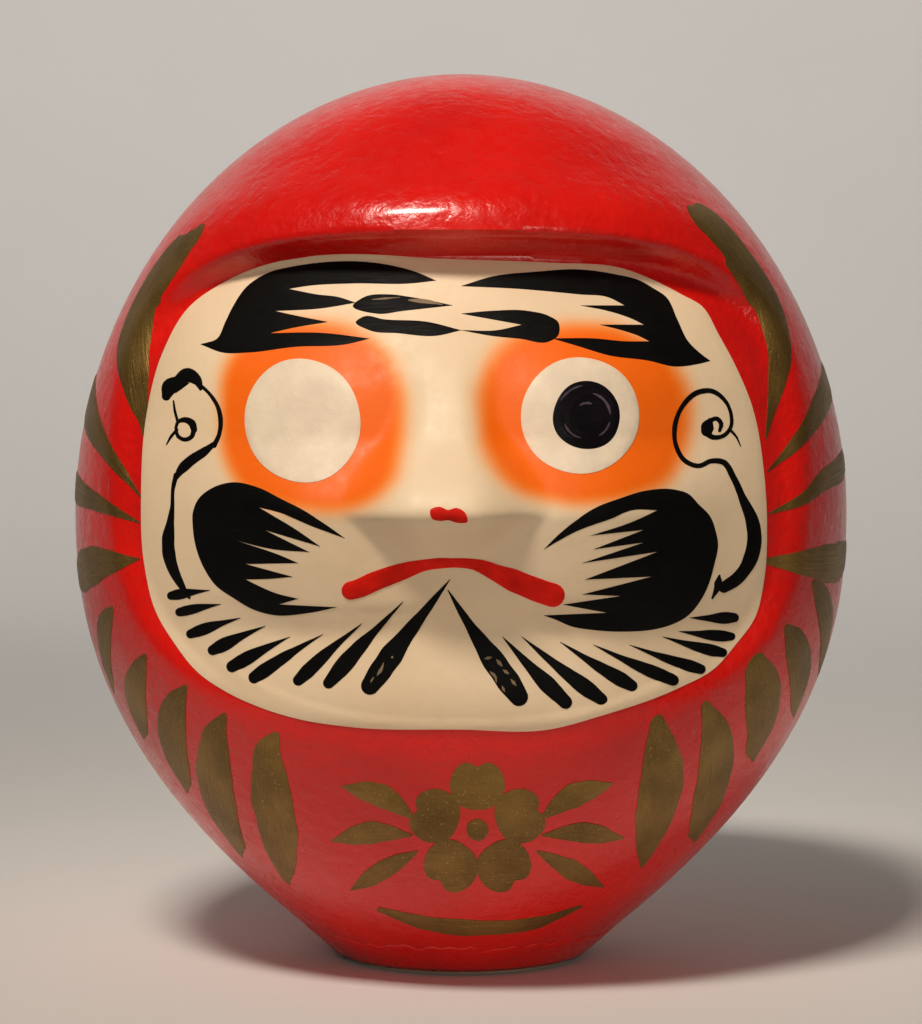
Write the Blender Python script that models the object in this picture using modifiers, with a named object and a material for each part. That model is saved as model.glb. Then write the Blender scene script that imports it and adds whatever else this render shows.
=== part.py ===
"""Daruma doll: two moulded paper halves, a glued nose, paper strips on the joints and a weighted foot.

Metres, +Z up. The doll faces -Y and stands on the XY plane, centred on the Z axis.
The moulding and foot sections work in millimetres and place() turns them into metres.
"""

import math

import bmesh
import bpy
import numpy as np

MM = 0.001

# Body, mm
HEIGHT = 160.0
HALF_WIDTH = 70.0
DEPTH_SHARE = 0.95
WIDEST_Z = 81.0
FOOT_RADIUS = 21.5
WALL = 2.4
GAP = 0.3

# Face, mm: a rounded field sunk into the front
FACE_X = -0.5
FACE_Z = 87.0
FACE_HALF_WIDTH = 53.5
FACE_HALF_HEIGHT = 38.8
BROW_DEPTH = 9.0
BROW_ROLL = 2.8
MUZZLE_TOP = 97.0
MUZZLE_CREST = 84.0
MUZZLE_FOOT = 63.5
MUZZLE_HALF_WIDTH = 48.0
MUZZLE_RISE = 5.8
EYE_X = 22.5
EYE_Z = 100.0
EYE_RISE = 1.6

# Nose, mm
NOSE_X = -2.7
NOSE_TOP = 112.0
NOSE_TIP = 84.5
NOSE_FOOT = 76.0
NOSE_RISE = 7.2
NOSE_SEAT = 0.5

# Foot, mm
SHELL_RIM_Z = 2.6
STICK_HOLE_RADIUS = 4.0
PAPER_RADIUS = 21.2
PAPER_THICKNESS = 0.6
WEIGHT_TOP_Z = 15.0
WEIGHT_GAP = 0.6
BOSS_RADIUS = 22.4
BOSS_CHAMFER = 1.0

# Pasted strips, mm
STRIP_THICKNESS = 0.5
STRIP_WIDTH = 10.0
STRIP_INSET = 0.7
RIM_STRIP_FROM = 1.0
RIM_STRIP_TO = 6.0

# Rows and columns of the moulded skin
CROWN_Z = 140.0
THROAT_Z = 45.0
CROWN_ROWS = 8
FACE_ROWS = 38
BOWL_ROWS = 9
FRONT_COLUMNS = 52
BACK_COLUMNS = 24
ROUND_STEPS = 48


def smooth(low, high, value):
    """0 below low and 1 above high, with a soft step between."""
    share = np.clip((value - low) / (high - low), 0.0, 1.0)
    return share * share * (3.0 - 2.0 * share)


def mound(x, z, centre_x, centre_z, half_width, half_height):
    """A round rise, 1 over its middle and 0 past its half sizes."""
    distance = np.hypot((x - centre_x) / half_width, (z - centre_z) / half_height)
    return 1.0 - smooth(0.25, 1.15, distance)


def radius_at(z):
    """Half width of the plain body at a height."""
    z = np.asarray(z, dtype=float)
    up = np.clip((z - WIDEST_Z) / (HEIGHT - WIDEST_Z), 0.0, 1.0)
    down = np.clip((WIDEST_Z - z) / WIDEST_Z, 0.0, 1.0)
    foot = FOOT_RADIUS / HALF_WIDTH
    dome = (1.0 - up**1.93) ** 0.506
    bowl = foot + (1.0 - foot) * (1.0 - down**2.3) ** 1.04
    return HALF_WIDTH * np.where(z >= WIDEST_Z, dome, bowl)


def face_ring(x, z):
    """1 on the outline of the face field, less inside it and more outside."""
    corner = np.where(z > FACE_Z, 3.5, 2.5)
    across = np.abs(x - FACE_X) / FACE_HALF_WIDTH
    along = np.abs(z - FACE_Z) / FACE_HALF_HEIGHT
    return (across**corner + along**corner) ** (1.0 / corner)


def relief(x, z):
    """How far the front stands out from the plain body, towards -Y."""
    ring = face_ring(x, z)
    inside = 1.0 - smooth(1.0, 1.13, ring)
    aside = np.abs(x - FACE_X)
    sunk = BROW_DEPTH * (0.10 + 0.45 * smooth(49.0, 66.0, z) + 0.10 * smooth(84.0, 100.0, z))
    sunk = sunk + BROW_DEPTH * 0.35 * smooth(104.0, 122.0, z)
    sunk = sunk * (1.0 - 0.30 * np.clip(aside / FACE_HALF_WIDTH, 0.0, 1.0) ** 2)
    forward = np.sqrt(1.0 - np.clip(np.abs(x) / np.maximum(radius_at(z), 0.001), 0.0, 1.0) ** 2)
    roll = BROW_ROLL * np.exp(-(((ring - 1.25) / 0.14) ** 2))
    roll = roll * smooth(84.0, 124.0, z) * smooth(66.0, 50.0, np.abs(x)) * smooth(0.0, 0.45, forward)
    lip_share = np.clip((z - 68.0) / (MUZZLE_CREST - 68.0), 0.0, 1.0)
    muzzle = smooth(MUZZLE_TOP, MUZZLE_CREST, z) * (0.3 + 0.7 * lip_share)
    muzzle = muzzle * smooth(0.0, 7.0, z - MUZZLE_FOOT - 0.8 * np.sin(0.11 * x + 0.9))
    muzzle = muzzle * smooth(MUZZLE_HALF_WIDTH, 24.0, aside)
    left_eye = mound(x, z, FACE_X - EYE_X, EYE_Z, 15.0, 15.0)
    right_eye = mound(x, z, FACE_X + EYE_X, EYE_Z, 15.0, 15.0)
    return inside * (MUZZLE_RISE * muzzle + EYE_RISE * (left_eye + right_eye) - sunk) + roll


def nose_half_width(z):
    """Half width of the nose: a narrow bridge that spreads to wide wings, then tucks in below."""
    wings = 8.0 + 8.4 * smooth(106.0, NOSE_TIP, z) ** 1.3
    tuck = 10.0 * np.clip((NOSE_TIP - z) / (NOSE_TIP - NOSE_FOOT), 0.0, 1.0)
    return wings - tuck


def nose_rise(share, z):
    """How far the nose stands out, at a share of its half width and a height."""
    bridge = smooth(NOSE_TOP + 4.0, NOSE_TIP, z) ** 1.2
    under = np.clip((z - NOSE_FOOT) / (NOSE_TIP + 1.6 - NOSE_FOOT), 0.0, 1.0)
    across = 1.0 - smooth(0.25, 1.08, np.abs(share))
    return NOSE_SEAT + NOSE_RISE * bridge * under**1.5 * (1.6 - 0.6 * under**3) * across


def offset_profile(z, inward):
    """Radius and height of the body's outline moved inward by a distance along its normal."""
    step = 0.05
    high = np.minimum(z + step, HEIGHT)
    low = np.maximum(z - step, 0.0)
    along_r = radius_at(high) - radius_at(low)
    along_z = high - low
    length = np.hypot(along_r, along_z)
    return radius_at(z) - inward * along_z / length, z + inward * along_r / length


def new_material(name, color, roughness, metallic=0.0):
    material = bpy.data.materials.new(name)
    material.use_nodes = True
    shader = material.node_tree.nodes["Principled BSDF"]
    shader.inputs["Base Color"].default_value = (*color, 1.0)
    shader.inputs["Roughness"].default_value = roughness
    shader.inputs["Metallic"].default_value = metallic
    material.diffuse_color = (*color, 1.0)
    return material


def place(name, shape, collection, material):
    """An object in metres from a bmesh in millimetres."""
    bmesh.ops.scale(shape, vec=(MM, MM, MM), verts=shape.verts)
    mesh = bpy.data.meshes.new(name)
    shape.to_mesh(mesh)
    shape.free()
    mesh.shade_smooth()
    mesh.materials.append(material)
    piece = bpy.data.objects.new(name, mesh)
    collection.objects.link(piece)
    return piece


def skin_heights():
    """Heights of the rows of the moulded skin, from the crown down to the rim, closer over the face."""
    crown = HEIGHT - (HEIGHT - CROWN_Z) * np.linspace(0.0, 1.0, CROWN_ROWS + 1) ** 2
    face = np.linspace(CROWN_Z, THROAT_Z, FACE_ROWS + 1)
    bowl = SHELL_RIM_Z + (THROAT_Z - SHELL_RIM_Z) * np.linspace(1.0, 0.0, BOWL_ROWS + 1) ** 1.4
    return np.concatenate([crown, face[1:], bowl[1:]])


def half_skin(heights, columns, turn):
    """Half of the body, spun from -X to +X: through -Y for a turn of 180 degrees and +Y for -180."""
    shape = bmesh.new()
    rim = [shape.verts.new((-float(radius_at(z)), 0.0, z)) for z in heights]
    edges = [shape.edges.new(pair) for pair in zip(rim, rim[1:])]
    bmesh.ops.spin(
        shape,
        geom=rim + edges,
        cent=(0.0, 0.0, 0.0),
        axis=(0.0, 0.0, 1.0),
        angle=math.radians(turn),
        steps=columns,
    )
    bmesh.ops.remove_doubles(shape, verts=shape.verts, dist=0.001)
    bmesh.ops.scale(shape, vec=(1.0, DEPTH_SHARE, 1.0), verts=shape.verts)
    bmesh.ops.recalc_face_normals(shape, faces=shape.faces)
    lowest = min(shape.faces, key=lambda face: face.calc_center_median().z)
    if lowest.normal.z > 0.0:
        bmesh.ops.reverse_faces(shape, faces=shape.faces)
    return shape


def add_wall(piece):
    """Gives a skin its wall, built inward."""
    wall = piece.modifiers.new("wall", "SOLIDIFY")
    wall.thickness = WALL * MM
    wall.offset = -1.0
    wall.use_rim = True


def front_shell(collection, material):
    shape = half_skin(skin_heights(), FRONT_COLUMNS, 180.0)
    for vert in shape.verts:
        vert.co.y -= float(relief(vert.co.x, vert.co.z)) + 0.5 * GAP
    add_wall(place("front_shell", shape, collection, material))


def back_shell(collection, material):
    shape = half_skin(skin_heights()[::2], BACK_COLUMNS, -180.0)
    bmesh.ops.translate(shape, vec=(0.0, 0.5 * GAP, 0.0), verts=shape.verts)
    add_wall(place("back_shell", shape, collection, material))


def nose(collection, material):
    """A grid laid on the face, its top face raised to the nose's form."""
    shape = bmesh.new()
    bmesh.ops.create_grid(shape, x_segments=16, y_segments=28, size=1.0)
    bmesh.ops.reverse_faces(shape, faces=shape.faces)
    raised = bmesh.ops.extrude_face_region(shape, geom=shape.faces[:])
    raised = {part for part in raised["geom"] if isinstance(part, bmesh.types.BMVert)}
    for vert in shape.verts:
        share = vert.co.x
        z = NOSE_FOOT + (NOSE_TOP - NOSE_FOOT) * 0.5 * (vert.co.y + 1.0)
        x = NOSE_X + share * float(nose_half_width(z))
        radius = float(radius_at(z))
        plain = DEPTH_SHARE * math.sqrt(radius**2 - x**2)
        out = plain + float(relief(x, z)) + 2.0 * GAP
        if vert in raised:
            out += float(nose_rise(share, z))
        vert.co = (x, -out, z)
    bmesh.ops.recalc_face_normals(shape, faces=shape.faces)
    place("nose", shape, collection, material)


def turned(name, outline, collection, material):
    """A closed outline of radius and height, running down its outer side, turned about Z."""
    shape = bmesh.new()
    corners = [shape.verts.new((r, 0.0, z)) for r, z in outline]
    for pair in zip(corners, corners[1:] + corners[:1]):
        shape.edges.new(pair)
    piece = place(name, shape, collection, material)
    screw = piece.modifiers.new("turn", "SCREW")
    screw.steps = ROUND_STEPS
    screw.render_steps = ROUND_STEPS
    screw.use_merge_vertices = True
    screw.merge_threshold = 0.00001
    return piece


def squash_depth(piece):
    """Gives a turned piece the body's oval plan."""
    piece.scale.y = DEPTH_SHARE


def base_weight(collection, material):
    """Fired clay: a dished cap that fills the bowl, with a boss through the shell's opening."""
    bed = PAPER_THICKNESS + GAP
    heights = np.linspace(10.0, SHELL_RIM_Z + 0.4, 6)
    side = [tuple(map(float, offset_profile(z, WALL + WEIGHT_GAP))) for z in heights]
    outline = [(STICK_HOLE_RADIUS, WEIGHT_TOP_Z - 3.0), (12.0, WEIGHT_TOP_Z - 2.4)]
    outline += [(20.0, WEIGHT_TOP_Z - 1.0), (27.0, WEIGHT_TOP_Z), (30.0, WEIGHT_TOP_Z - 0.4)]
    outline += side
    outline += [(BOSS_RADIUS, bed + BOSS_CHAMFER), (BOSS_RADIUS - BOSS_CHAMFER, bed)]
    outline += [(STICK_HOLE_RADIUS, bed)]
    squash_depth(turned("base_weight", outline, collection, material))


def base_paper(collection, material):
    """Paper disc under the weight, over the stick hole: the face that the doll stands on."""
    shape = bmesh.new()
    bmesh.ops.create_cone(
        shape,
        cap_ends=True,
        segments=ROUND_STEPS,
        radius1=PAPER_RADIUS,
        radius2=PAPER_RADIUS,
        depth=PAPER_THICKNESS,
    )
    bmesh.ops.translate(shape, vec=(0.0, 0.0, 0.5 * PAPER_THICKNESS), verts=shape.verts)
    squash_depth(place("base_paper", shape, collection, material))


def base_rim_strip(collection, material):
    """Paper ring pasted outside, over the joint between the shells and the weight."""
    heights = np.linspace(RIM_STRIP_FROM, RIM_STRIP_TO, 5)
    inner = [tuple(map(float, offset_profile(z, -GAP))) for z in heights]
    outer = [tuple(map(float, offset_profile(z, -GAP - STRIP_THICKNESS))) for z in heights]
    squash_depth(turned("base_rim_strip", outer[::-1] + inner, collection, material))


def ribbon(name, route, collection, material):
    """A strip of paper across the joint, from a route of inside and outside points in the XZ plane."""
    near, far = route
    shape = bmesh.new()
    half = 0.5 * STRIP_WIDTH
    corners = [shape.verts.new((x, -half, z)) for x, z in near + far[::-1]]
    side = shape.faces.new(corners)
    pulled = bmesh.ops.extrude_face_region(shape, geom=[side])
    moved = [part for part in pulled["geom"] if isinstance(part, bmesh.types.BMVert)]
    bmesh.ops.translate(shape, vec=(0.0, STRIP_WIDTH, 0.0), verts=moved)
    bmesh.ops.recalc_face_normals(shape, faces=shape.faces)
    place(name, shape, collection, material)


def inner_route(heights, sign):
    """Points just inside the wall, and a strip's thickness further in, on one side of the doll."""
    near = []
    far = []
    depth = WALL + STRIP_INSET
    for z in heights:
        for points, inward in ((near, depth), (far, depth + STRIP_THICKNESS)):
            radius, height = offset_profile(z, inward)
            points.append((sign * float(radius), float(height)))
    return near, far


def seam_strips(collection, material):
    """Strips inside the joint of the two halves: one up each side and one over the crown."""
    side = np.linspace(22.0, 128.0, 27)
    ribbon("seam_strip_left", inner_route(side, -1.0), collection, material)
    ribbon("seam_strip_right", inner_route(side, 1.0), collection, material)
    crown = HEIGHT - 28.0 * np.linspace(1.0, 0.12, 9) ** 2
    left_near, left_far = inner_route(crown, -1.0)
    right_near, right_far = inner_route(crown[::-1], 1.0)
    ribbon("seam_strip_crown", (left_near + right_near, left_far + right_far), collection, material)


def main():
    for thing in list(bpy.data.objects):
        bpy.data.objects.remove(thing, do_unlink=True)
    collection = bpy.data.collections.new("daruma_doll")
    bpy.context.scene.collection.children.link(collection)
    red = new_material("red_paint", (0.78, 0.02, 0.01), 0.32)
    ivory = new_material("ivory_paint", (0.88, 0.79, 0.66), 0.48)
    clay = new_material("fired_clay", (0.42, 0.24, 0.15), 0.88)
    kraft = new_material("kraft_paper", (0.52, 0.40, 0.27), 0.92)
    washi = new_material("washi_paper", (0.80, 0.76, 0.66), 0.90)
    front_shell(collection, red)
    back_shell(collection, red)
    nose(collection, ivory)
    base_weight(collection, clay)
    base_paper(collection, kraft)
    base_rim_strip(collection, red)
    seam_strips(collection, washi)


main()
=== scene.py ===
import math

import bpy
import numpy as np
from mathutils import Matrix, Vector
from mathutils.geometry import delaunay_2d_cdt


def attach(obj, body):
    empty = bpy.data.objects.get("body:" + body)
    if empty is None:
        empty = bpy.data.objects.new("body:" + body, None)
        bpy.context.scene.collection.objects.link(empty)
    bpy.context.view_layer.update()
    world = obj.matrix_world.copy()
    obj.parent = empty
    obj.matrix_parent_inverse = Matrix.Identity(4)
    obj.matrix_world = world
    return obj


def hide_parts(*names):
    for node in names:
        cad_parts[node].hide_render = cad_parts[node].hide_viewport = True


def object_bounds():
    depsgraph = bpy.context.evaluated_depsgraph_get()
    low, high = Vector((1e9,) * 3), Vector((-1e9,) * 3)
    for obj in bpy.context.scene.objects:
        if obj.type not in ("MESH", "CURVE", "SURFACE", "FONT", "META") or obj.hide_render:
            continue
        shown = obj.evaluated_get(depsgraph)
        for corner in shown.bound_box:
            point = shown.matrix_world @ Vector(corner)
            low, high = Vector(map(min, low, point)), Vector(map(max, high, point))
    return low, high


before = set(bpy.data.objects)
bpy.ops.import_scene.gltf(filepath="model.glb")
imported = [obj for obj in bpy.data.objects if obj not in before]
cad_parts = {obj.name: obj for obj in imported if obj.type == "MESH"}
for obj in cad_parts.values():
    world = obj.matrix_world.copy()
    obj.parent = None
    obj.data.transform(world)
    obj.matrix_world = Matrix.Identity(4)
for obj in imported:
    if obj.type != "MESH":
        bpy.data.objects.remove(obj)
cad_box = [[float(v) for v in corner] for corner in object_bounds()]

# Lengths are millimetres, which new_mesh() makes metres. Lights, camera and bumps are set in metres.
MM = 0.001
BODY = "root"

# Body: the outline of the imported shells, drawn in to leave room for the paint
PAINT_ROOM = 0.35
HALF_WIDTH = 500.0 * (cad_box[1][0] - cad_box[0][0]) - PAINT_ROOM
HEIGHT = 1000.0 * cad_box[1][2] - PAINT_ROOM
DEPTH_SHARE = 0.95
WIDEST_Z = 81.0
FOOT_RADIUS = 21.5
RIM_Z = 2.6
WALL = 2.1
# Powers that round the body over its widest height and under it
DOME_POWERS = (1.93, 0.506)
BOWL_POWERS = (2.3, 1.04)

# Face field sunk into the front
FACE_X = -0.5
FACE_Z = 87.0
FACE_HALF_WIDTH = 53.5
FACE_HALF_HEIGHT = 38.8
FACE_CORNER_TOP = 3.5
FACE_CORNER_FOOT = 2.5
BROW_DEPTH = 9.0
# Shares of the brow's depth: at the chin, then what each slope between two heights adds
CHIN_DEPTH = 0.10
MOUTH_DEPTH = 0.45
MOUTH_SLOPE = (49.0, 66.0)
CHEEK_DEPTH = 0.10
CHEEK_SLOPE = (84.0, 100.0)
LID_DEPTH = 0.35
LID_SLOPE = (104.0, 122.0)
SIDE_DEPTH = 0.30
# The brow's roll, and where it fades in: heights, distances from the middle, shares of facing forward
BROW_ROLL = 2.8
ROLL_RING = 1.25
ROLL_SPREAD = 0.14
ROLL_HEIGHTS = (84.0, 124.0)
ROLL_SIDES = (66.0, 50.0)
ROLL_FORWARD = (0.0, 0.45)
MUZZLE_TOP = 97.0
MUZZLE_CREST = 84.0
MUZZLE_FOOT = 63.5
MUZZLE_HALF_WIDTH = 48.0
MUZZLE_FLAT = 24.0
MUZZLE_RISE = 5.8
LIP_Z = 68.0
EYE_X = 22.5
EYE_Z = 100.0
EYE_RISE = 1.6
EYE_MOUND = 15.0
CHIN_LIP = 0.25

# Nose
NOSE_X = -2.7
NOSE_TOP = 112.0
NOSE_TIP = 84.5
NOSE_FOOT = 76.0
NOSE_RISE = 7.2
BRIDGE_HALF_WIDTH = 8.0
WING_SPREAD = 8.4
WING_TUCK = 10.0

# Waves that make the moulded paper uneven
WAVES = 14
WAVE_LENGTHS = (11.0, 46.0)
WAVE_STEEPNESS = 0.0022

# Rows of the mouldings: over the crown, close together down the face, then over the bowl
CROWN_Z = 140.0
CHIN_Z = 45.0
CROWN_ROWS = 27
FACE_ROWS = 113
BOWL_ROWS = 49
MOULD_CREASE = 50.0

# The painter's eye: strokes are drawn on the upright plane through the doll's axis and thrown from here
PAINTER_Y = -600.0
PAINTER_Z = 118.0
AIM_Z = 80.7

# Paint: how thick it lies, how deep it is set into the skin, and how it ends
TIP = "tip"
COAT = 0.28
COAT_FOOT = 0.06
STROKE = 0.13
LEAF = 0.16
SUNK = 0.10
BARE = 0.30
BARE_EDGE = (0.90, 0.97)
EDGE_SHARE = 0.35
PAINT_CREASE = 45.0
# Patches of one piece lie a little higher in turn, so that no two tops meet in one plane
LAYER_STEP = 0.006
LAYERS = 5
BRISTLE_SHIFT = 7.0
CHART_MM_PER_DEGREE = 1.2
# How far to each side the slope of the skin is felt
NUDGE = 0.2

# Band round the rim
BAND_FROM = 1.0
BAND_TO = 6.0
BAND_THICKNESS = 0.32
BAND_EDGE = 0.03
BAND_GAP = 0.02
BAND_TEARS = (7, 16, 29, 47)


# ---------------------------------------------------------------- body shape


def smooth(low, high, value):
    """0 below low and 1 above high, with a soft step between."""
    share = np.clip((value - low) / (high - low), 0.0, 1.0)
    return share * share * (3.0 - 2.0 * share)


def mound(x, z, centre_x, centre_z, radius):
    """A round rise, 1 over its middle and 0 a little past its radius."""
    distance = np.hypot((x - centre_x) / radius, (z - centre_z) / radius)
    return 1.0 - smooth(0.25, 1.15, distance)


def radius_at(z):
    """Half width of the plain body at a height."""
    z = np.asarray(z, dtype=float)
    up = np.clip((z - WIDEST_Z) / (HEIGHT - WIDEST_Z), 0.0, 1.0)
    down = np.clip((WIDEST_Z - z) / WIDEST_Z, 0.0, 1.0)
    foot = FOOT_RADIUS / HALF_WIDTH
    dome = (1.0 - up ** DOME_POWERS[0]) ** DOME_POWERS[1]
    bowl = foot + (1.0 - foot) * (1.0 - down ** BOWL_POWERS[0]) ** BOWL_POWERS[1]
    return HALF_WIDTH * np.where(z >= WIDEST_Z, dome, bowl)


def face_ring(x, z):
    """1 on the outline of the face field, less inside it and more outside."""
    corner = np.where(z > FACE_Z, FACE_CORNER_TOP, FACE_CORNER_FOOT)
    across = np.abs(x - FACE_X) / FACE_HALF_WIDTH
    along = np.abs(z - FACE_Z) / FACE_HALF_HEIGHT
    return (across**corner + along**corner) ** (1.0 / corner)


def relief(x, z):
    """How far the front stands out from the plain body, towards -Y."""
    ring = face_ring(x, z)
    inside = 1.0 - smooth(1.0, 1.13, ring)
    aside = np.abs(x - FACE_X)
    forward = np.sqrt(1.0 - np.clip(np.abs(x) / np.maximum(radius_at(z), 0.001), 0.0, 1.0) ** 2)
    low = CHIN_DEPTH + MOUTH_DEPTH * smooth(*MOUTH_SLOPE, z) + CHEEK_DEPTH * smooth(*CHEEK_SLOPE, z)
    sunk = BROW_DEPTH * low + BROW_DEPTH * LID_DEPTH * smooth(*LID_SLOPE, z)
    sunk = sunk * (1.0 - SIDE_DEPTH * np.clip(aside / FACE_HALF_WIDTH, 0.0, 1.0) ** 2)
    roll = BROW_ROLL * np.exp(-(((ring - ROLL_RING) / ROLL_SPREAD) ** 2))
    roll = roll * smooth(*ROLL_HEIGHTS, z) * smooth(*ROLL_SIDES, np.abs(x)) * smooth(*ROLL_FORWARD, forward)
    lip_share = np.clip((z - LIP_Z) / (MUZZLE_CREST - LIP_Z), 0.0, 1.0)
    muzzle = smooth(MUZZLE_TOP, MUZZLE_CREST, z) * (0.3 + 0.7 * lip_share)
    muzzle = muzzle * smooth(0.0, 7.0, z - MUZZLE_FOOT - 0.8 * np.sin(0.11 * x + 0.9))
    muzzle = muzzle * smooth(MUZZLE_HALF_WIDTH, MUZZLE_FLAT, aside)
    left = mound(x, z, FACE_X - EYE_X, EYE_Z, EYE_MOUND)
    eyes = left + mound(x, z, FACE_X + EYE_X, EYE_Z, EYE_MOUND)
    lip = CHIN_LIP * smooth(0.945, 0.965, ring) * smooth(64.0, 54.0, z)
    return inside * (MUZZLE_RISE * muzzle + EYE_RISE * eyes + lip - sunk) + roll


def nose_form(x, z):
    """How far the nose stands out: a narrow bridge that spreads to wide wings over a flat underside."""
    below = np.clip((NOSE_TIP - z) / (NOSE_TIP - NOSE_FOOT), 0.0, 1.0)
    spread = smooth(106.0, NOSE_TIP, z) ** 1.3
    half_width = BRIDGE_HALF_WIDTH + WING_SPREAD * spread - WING_TUCK * below
    across = 1.0 - smooth(0.25, 1.08, np.abs(x - NOSE_X) / half_width)
    bridge = smooth(NOSE_TOP + 4.0, NOSE_TIP, z) ** 1.2
    under = np.clip((z - NOSE_FOOT) / (NOSE_TIP + 1.6 - NOSE_FOOT), 0.0, 1.0)
    return NOSE_RISE * bridge * under**1.5 * (1.6 - 0.6 * under**3) * across


def wave_set(seed):
    """Turns across and up in each millimetre, phases and heights of one set of waves."""
    draw = np.random.default_rng(seed)
    angle = draw.uniform(0.0, math.pi, WAVES)
    length = draw.uniform(*WAVE_LENGTHS, WAVES)
    phase = draw.uniform(0.0, 2.0 * math.pi, WAVES)
    return np.cos(angle) / length, np.sin(angle) / length, phase, WAVE_STEEPNESS * length


FRONT_WAVES = wave_set(11)
BACK_WAVES = wave_set(23)


def lumps(x, z, waves):
    """How far a set of waves lifts the skin."""
    across, up, phase, size = waves
    turns = np.multiply.outer(x, across) + np.multiply.outer(z, up)
    return (size * np.sin(2.0 * math.pi * turns + phase)).sum(axis=-1)


def skin(azimuth, z, bare=0.0):
    """Points of the painted body at azimuths in degrees, 0 to the front and +90 at +X, and heights.
    Under the face paint the skin lies lower by the depth called bare."""
    turn = np.radians(azimuth)
    radius = radius_at(z)
    x = radius * np.sin(turn)
    ahead = np.cos(turn)
    front = relief(x, z) + nose_form(x, z) + ahead * lumps(x, z, FRONT_WAVES)
    front = front - bare * (1.0 - smooth(*BARE_EDGE, face_ring(x, z)))
    back = ahead * lumps(x, z, BACK_WAVES)
    out = np.where(ahead > 1e-6, front, back)
    return np.stack([x, -DEPTH_SHARE * radius * ahead - out, z + 0.0 * x], axis=-1)


def front_y(x, z):
    """Depth of the front of the body."""
    radius = radius_at(z)
    ahead = np.sqrt(np.maximum(1.0 - (x / radius) ** 2, 0.0))
    raised = relief(x, z) + nose_form(x, z) + ahead * lumps(x, z, FRONT_WAVES)
    return -(DEPTH_SHARE * radius * ahead + raised)


# ---------------------------------------------------------------- mesh making


def new_mesh(name, points, faces, material, attributes=None):
    """An object in metres from points in millimetres."""
    mesh = bpy.data.meshes.new(name)
    mesh.from_pydata((np.asarray(points) * MM).tolist(), [], faces)
    for key, values in (attributes or {}).items():
        layer = mesh.attributes.new(key, "FLOAT", "POINT")
        layer.data.foreach_set("value", np.asarray(values, dtype=np.float32))
    mesh.materials.append(material)
    mesh.shade_smooth()
    piece = bpy.data.objects.new(name, mesh)
    bpy.context.scene.collection.objects.link(piece)
    return piece


def settle(piece, slot, *nodes):
    """Hangs a finished piece on the doll's one body and hides the imported nodes it stands for. The slot is
    not used.
    """
    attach(piece, BODY)
    if nodes:
        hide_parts(*nodes)


def moulding(name, start, columns, material):
    """Half of the body as a fine skin from azimuth start over 180 degrees, with its wall built inward."""
    crown = HEIGHT - (HEIGHT - CROWN_Z) * np.linspace(0.0, 1.0, CROWN_ROWS) ** 2
    face = np.linspace(CROWN_Z, CHIN_Z, FACE_ROWS)
    bowl = RIM_Z + (CHIN_Z - RIM_Z) * np.linspace(1.0, 0.0, BOWL_ROWS) ** 1.4
    heights = np.concatenate([crown[1:], face[1:], bowl[1:]])
    azimuth, z = np.meshgrid(np.linspace(start, start + 180.0, columns + 1), heights)
    rows = skin(azimuth, z, BARE)
    rows[:, [0, -1], 1] = 0.0
    points = np.concatenate([[[0.0, 0.0, HEIGHT]], rows.reshape(-1, 3)])
    width = columns + 1
    faces = [(0, 1 + c, 2 + c) for c in range(columns)]
    for r in range(len(heights) - 1):
        for c in range(1 + r * width, 1 + r * width + columns):
            faces.append((c, c + width, c + width + 1, c + 1))
    piece = new_mesh(name, points, faces, material)
    wall = piece.modifiers.new("wall", "SOLIDIFY")
    wall.thickness = WALL * MM
    wall.offset = -1.0
    piece.data.set_sharp_from_angle(angle=math.radians(MOULD_CREASE))
    return piece


# ---------------------------------------------------------------- brush work


def hermite(start, end, leave, arrive, count):
    """Points from start to just before end, along a curve that leaves and arrives in two directions."""
    t = np.linspace(0.0, 1.0, count, endpoint=False)[:, None]
    reach = np.linalg.norm(end - start)
    a = 2.0 * t**3 - 3.0 * t**2 + 1.0
    b = t**3 - 2.0 * t**2 + t
    c = -2.0 * t**3 + 3.0 * t**2
    d = t**3 - t**2
    return a * start + b * reach * leave + c * end + d * reach * arrive


def flowing(points, step, closed):
    """A smooth line through points, with a corner at each that is marked TIP."""
    knots = np.array([p[:2] for p in points], dtype=float)
    sharp = [len(p) > 2 and p[2] == TIP for p in points]
    count = len(knots)
    chords = np.roll(knots, -1, axis=0) - knots
    lengths = np.linalg.norm(chords, axis=1)
    ways = chords / lengths[:, None]
    parts = []
    for i in range(count if closed else count - 1):
        j = (i + 1) % count
        before = (i - 1) % count
        leave = ways[i]
        arrive = ways[i]
        if not sharp[i] and (closed or i > 0):
            leave = (ways[before] * lengths[i] + ways[i] * lengths[before]) / (lengths[before] + lengths[i])
        if not sharp[j] and (closed or j < count - 1):
            arrive = (ways[i] * lengths[j] + ways[j] * lengths[i]) / (lengths[i] + lengths[j])
        parts.append(hermite(knots[i], knots[j], leave, arrive, max(2, math.ceil(lengths[i] / step))))
    if not closed:
        parts.append(knots[-1:])
    return np.concatenate(parts)


def run_of(line):
    """How far along a line each of its points lies."""
    return np.concatenate([[0.0], np.cumsum(np.linalg.norm(np.diff(line, axis=0), axis=1))])


def ways_of(line):
    """Which way a line runs at each of its points."""
    ways = np.gradient(line, axis=0)
    return ways / np.linalg.norm(ways, axis=1)[:, None]


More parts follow.
